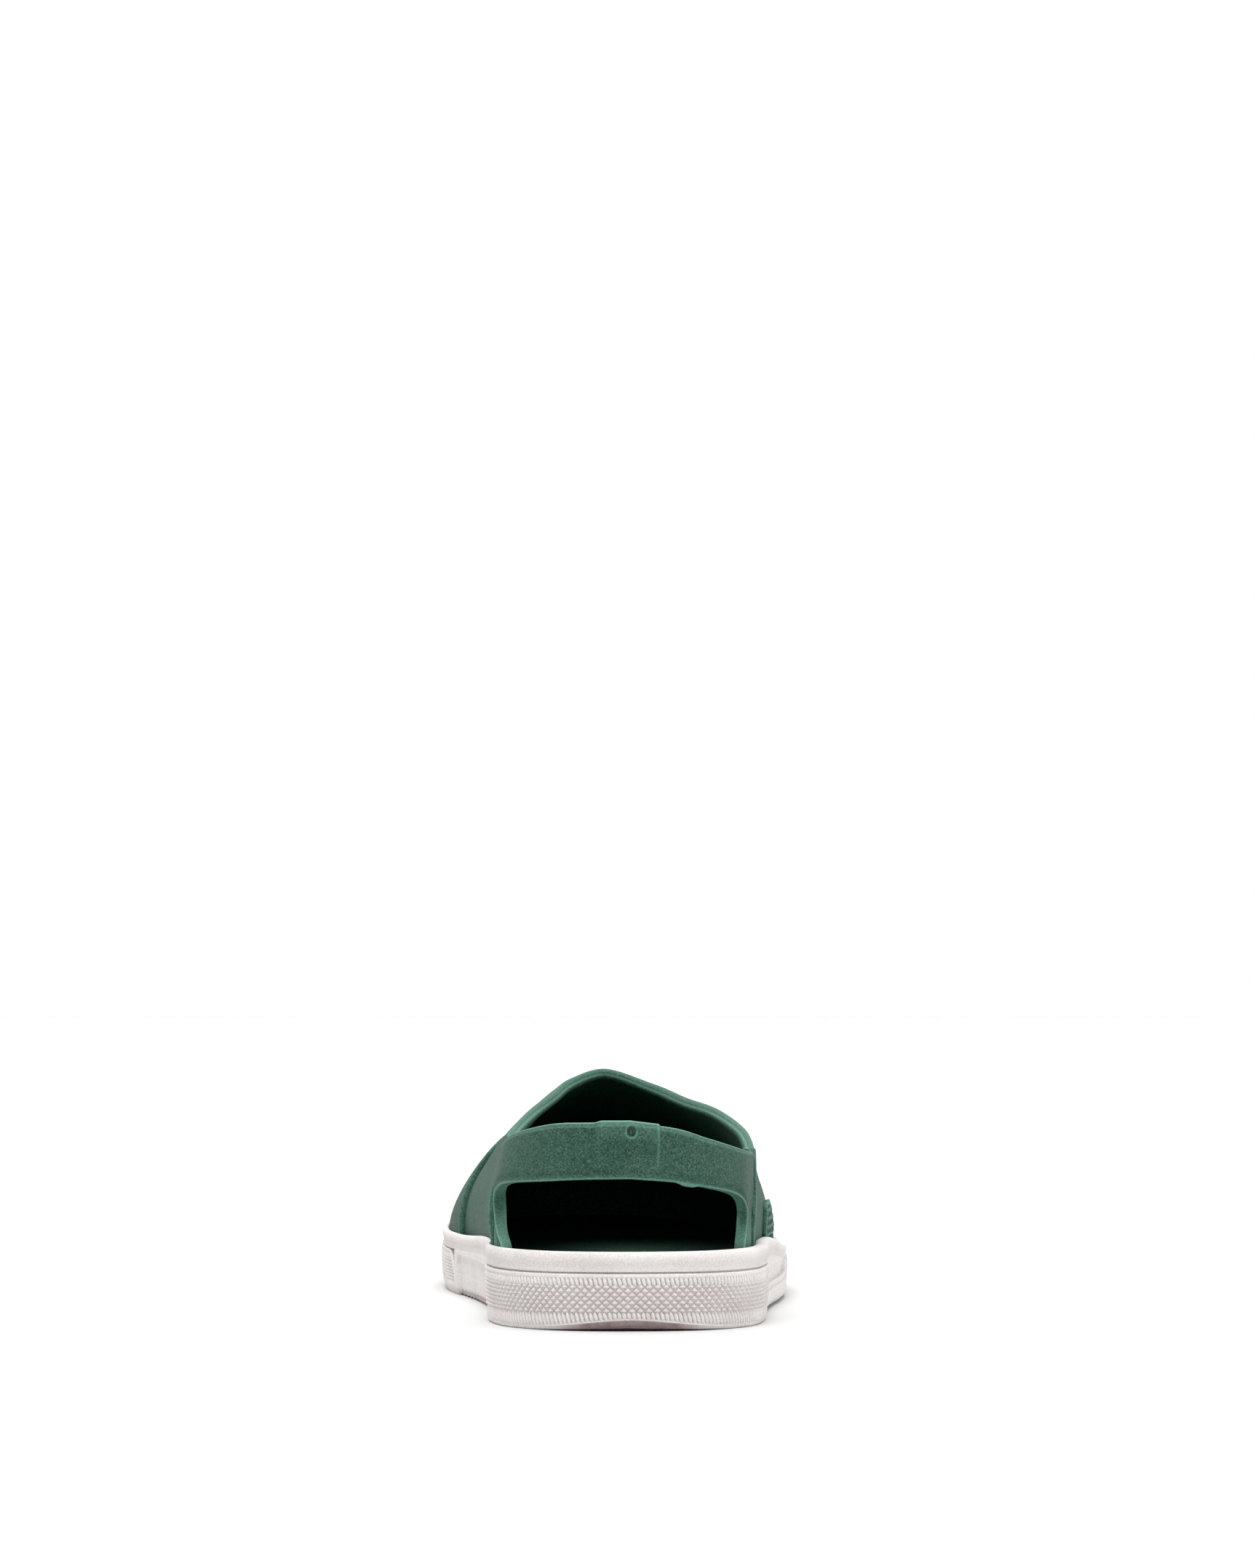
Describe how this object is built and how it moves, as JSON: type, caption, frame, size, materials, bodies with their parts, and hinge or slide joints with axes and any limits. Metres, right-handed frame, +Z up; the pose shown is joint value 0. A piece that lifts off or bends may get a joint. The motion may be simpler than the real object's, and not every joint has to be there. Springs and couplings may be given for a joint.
{
  "type": "garden clog",
  "caption": "Right-foot moulded garden clog: closed-toe slip-on upper, springy slingback strap over an open heel window, and a pale cup sole with textured bumpers and tread plates.",
  "frame": {"origin": "centre of the bounding box's base, on the ground under the sole", "axes": "+Y towards the toe, +X towards the outer side of a right foot, +Z up"},
  "size_m": [0.1058, 0.285, 0.069],
  "materials": {
    "sole_rubber": "matte off-white moulded rubber",
    "upper_rubber": "matte green moulded rubber with a fine grain"
  },
  "bodies": {
    "shoe": {"midsole": "sole_rubber", "heel_bumper": "sole_rubber", "toe_bumper": "sole_rubber", "heel_tread": "sole_rubber", "forefoot_tread": "sole_rubber", "footbed": "upper_rubber", "upper": "upper_rubber", "side_badge": "upper_rubber"},
    "strap": {"heel_strap": "upper_rubber"}
  },
  "joints": [
    {"name": "strap_flex", "type": "hinge", "parent": "shoe", "child": "strap", "pos_m": [0, -0.097, 0.0436], "axis": [0.9991, 0, -0.043], "range_deg": [-10, 12], "stiffness_Nm_per_rad": 0.2}
  ]
}
